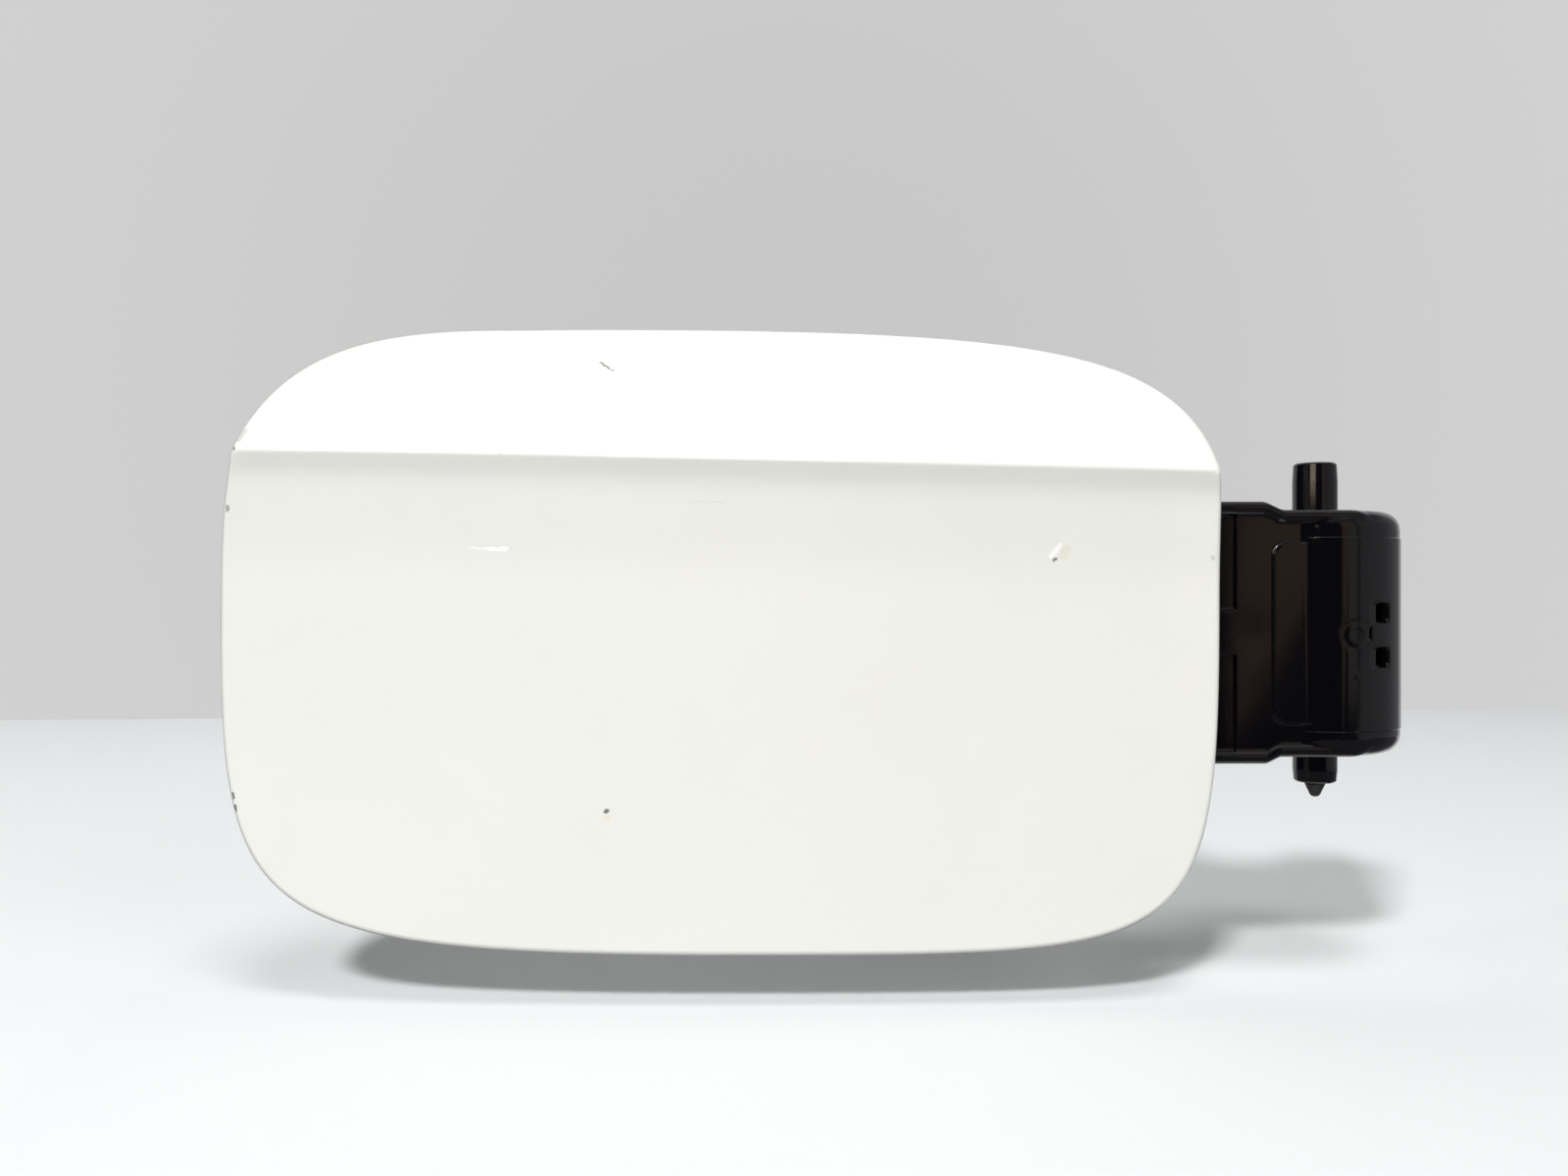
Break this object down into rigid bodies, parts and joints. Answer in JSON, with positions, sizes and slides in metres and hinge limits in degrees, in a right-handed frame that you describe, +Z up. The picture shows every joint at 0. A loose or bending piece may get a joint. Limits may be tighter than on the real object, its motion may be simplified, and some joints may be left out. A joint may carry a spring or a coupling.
{
  "type": "car fuel door",
  "caption": "Painted sheet-metal fuel door on a moulded hinge arm with a sprung pivot, rubber stops and a latch catch.",
  "frame": {"origin": "on the pivot's axis, at the shoulder where its lower end leaves the drum of the hinge arm", "axes": "+Z up along the pivot's axis, +X across the door from its latch edge towards the pivot, -Y out of the painted face"},
  "size_m": [0.2437, 0.0395, 0.1246],
  "materials": {
    "white_paint": "glossy white body paint on pressed steel",
    "black_plastic": "glossy black moulded plastic",
    "plunger_plastic": "satin dark olive-brown moulded plastic",
    "washer_plastic": "natural white moulded plastic",
    "black_rubber": "matt black rubber",
    "mastic": "grey soft mastic",
    "zinc_steel": "zinc-plated steel",
    "spring_steel": "oiled spring steel"
  },
  "bodies": {
    "pivot": {"hinge_shaft": "black_plastic", "thrust_washer_upper": "washer_plastic", "thrust_washer_lower": "washer_plastic", "retaining_ring_upper": "spring_steel", "retaining_ring_lower": "spring_steel", "plunger_spring": "spring_steel"},
    "door": {"outer_skin": "white_paint", "inner_panel": "white_paint", "mastic_pad_upper": "mastic", "mastic_pad_lower": "mastic", "hinge_arm": "black_plastic", "arm_screw_1": "zinc_steel", "arm_screw_2": "zinc_steel", "arm_screw_3": "zinc_steel", "weld_nut_1": "zinc_steel", "weld_nut_2": "zinc_steel", "weld_nut_3": "zinc_steel", "bump_stop_upper": "black_rubber", "bump_stop_lower": "black_rubber", "latch_catch": "zinc_steel", "catch_rivet_upper": "zinc_steel", "catch_rivet_lower": "zinc_steel", "hinge_spring": "spring_steel"},
    "plunger": {"lock_plunger": "plunger_plastic"}
  },
  "joints": [
    {"name": "door_swing", "type": "hinge", "parent": "pivot", "child": "door", "pos_m": [0, 0, 0], "axis": [0, 0, 1], "range_deg": [0, 100], "stiffness_Nm_per_rad": 0.02, "springref_deg": -28.65, "deforming": ["hinge_spring"]},
    {"name": "plunger_slide", "type": "slide", "parent": "pivot", "child": "plunger", "axis": [0, 0, 1], "range_m": [0, 0.0026], "stiffness_N_per_m": 800, "springref_m": -0.004, "deforming": ["plunger_spring"]}
  ]
}
